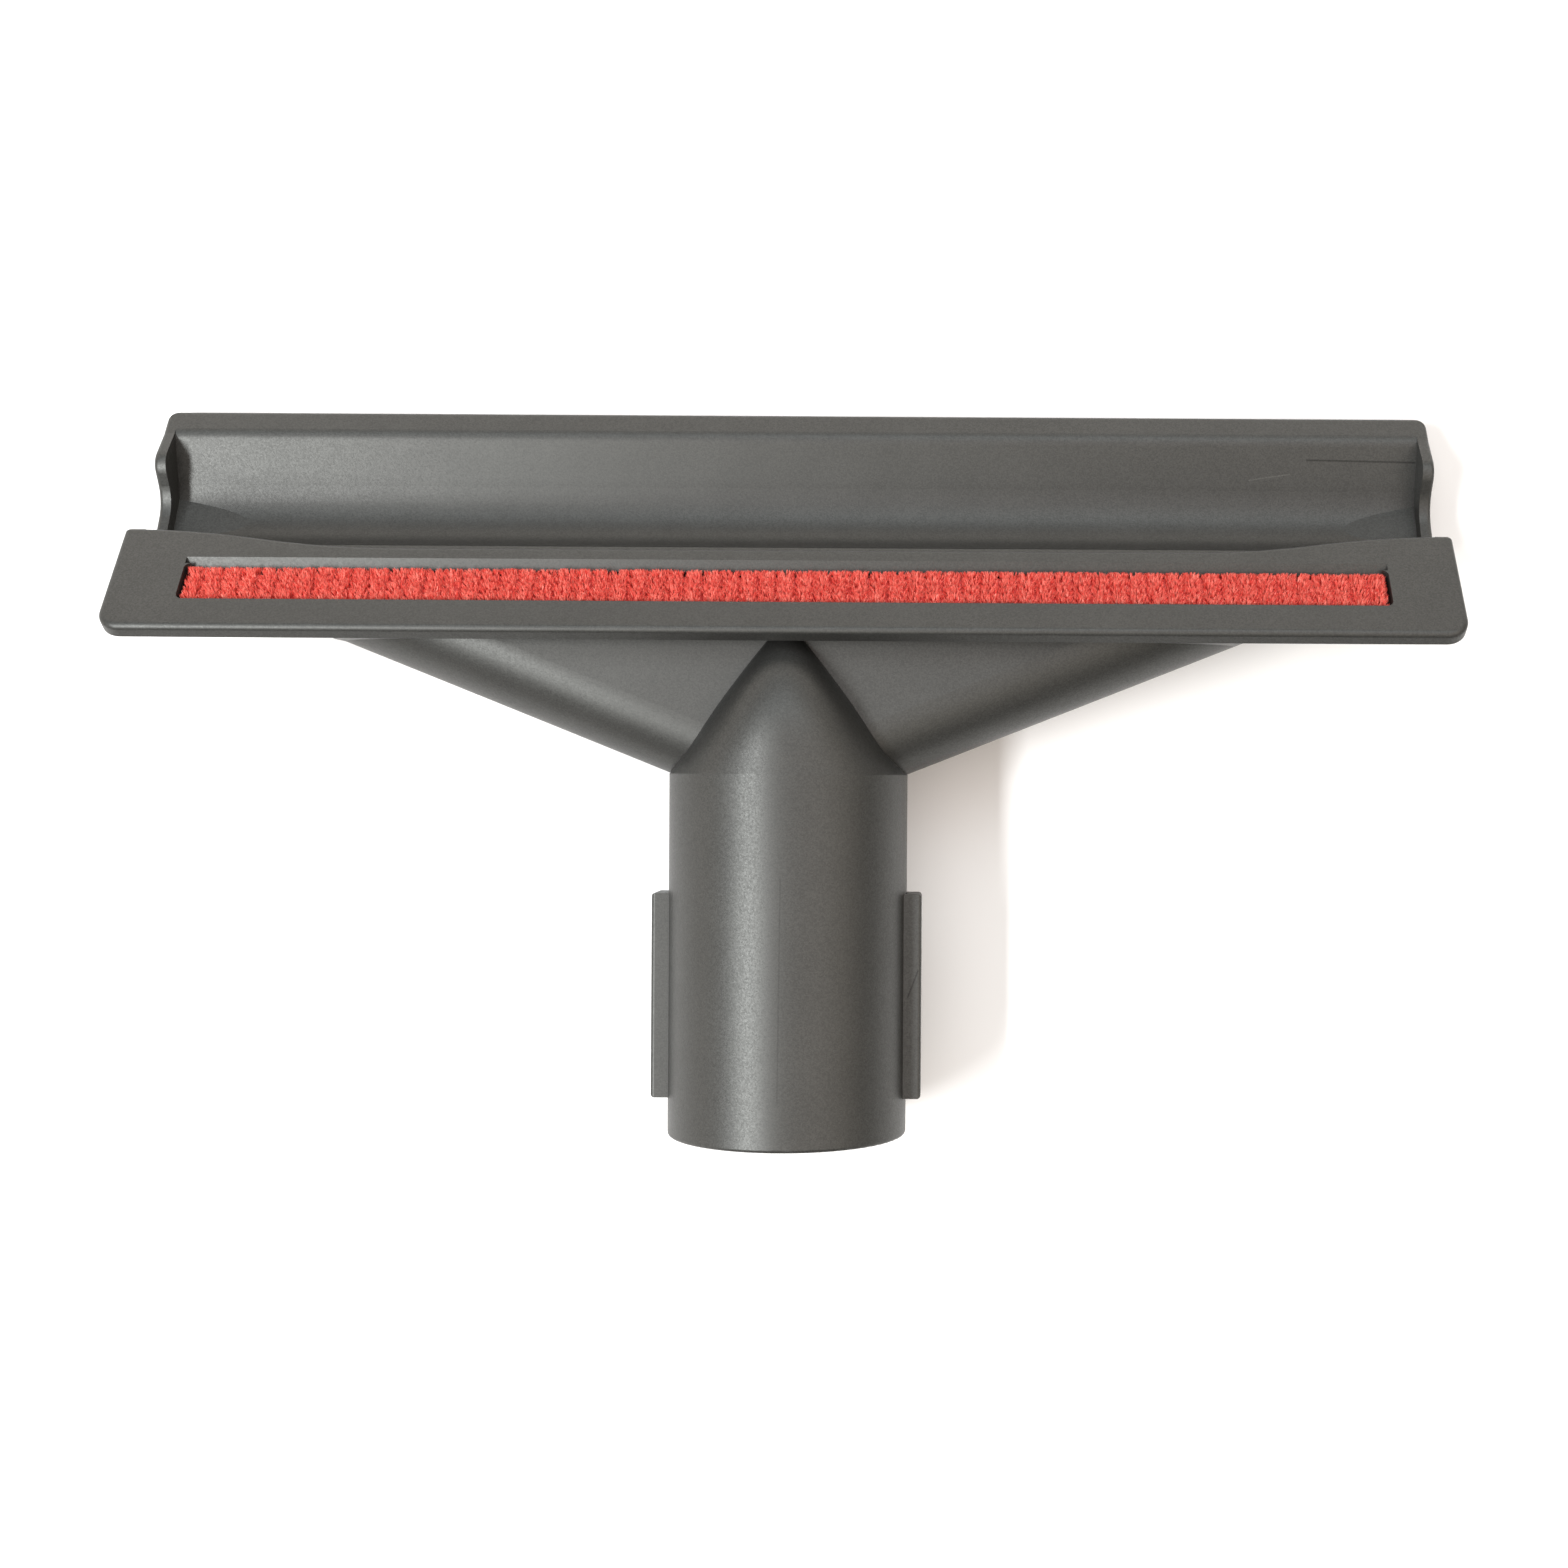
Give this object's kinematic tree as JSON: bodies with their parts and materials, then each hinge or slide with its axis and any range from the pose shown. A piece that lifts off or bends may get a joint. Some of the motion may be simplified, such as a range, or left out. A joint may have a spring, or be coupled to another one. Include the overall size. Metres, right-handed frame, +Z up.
{
  "type": "vacuum upholstery nozzle",
  "caption": "Wide upholstery and mattress nozzle for a vacuum cleaner: round neck with side rails, flat fan duct, slotted sole with a red lint strip, and a scoop hood in front.",
  "frame": {"origin": "on the table under the middle of the tool's length and width", "axes": "+X across the tool, +Y from the neck towards the hood, +Z up with the tool lying on its back, sole up"},
  "size_m": [0.2104, 0.1174, 0.0383],
  "materials": {
    "shell": "iron-grey moulded ABS, satin with a fine sparkle",
    "sole": "iron-grey moulded ABS, satin with a fine sparkle",
    "pile": "short red nylon pile"
  },
  "bodies": {
    "root": {"nozzle_body": "shell", "sole_plate": "sole", "lint_strip": "pile"}
  },
  "joints": []
}
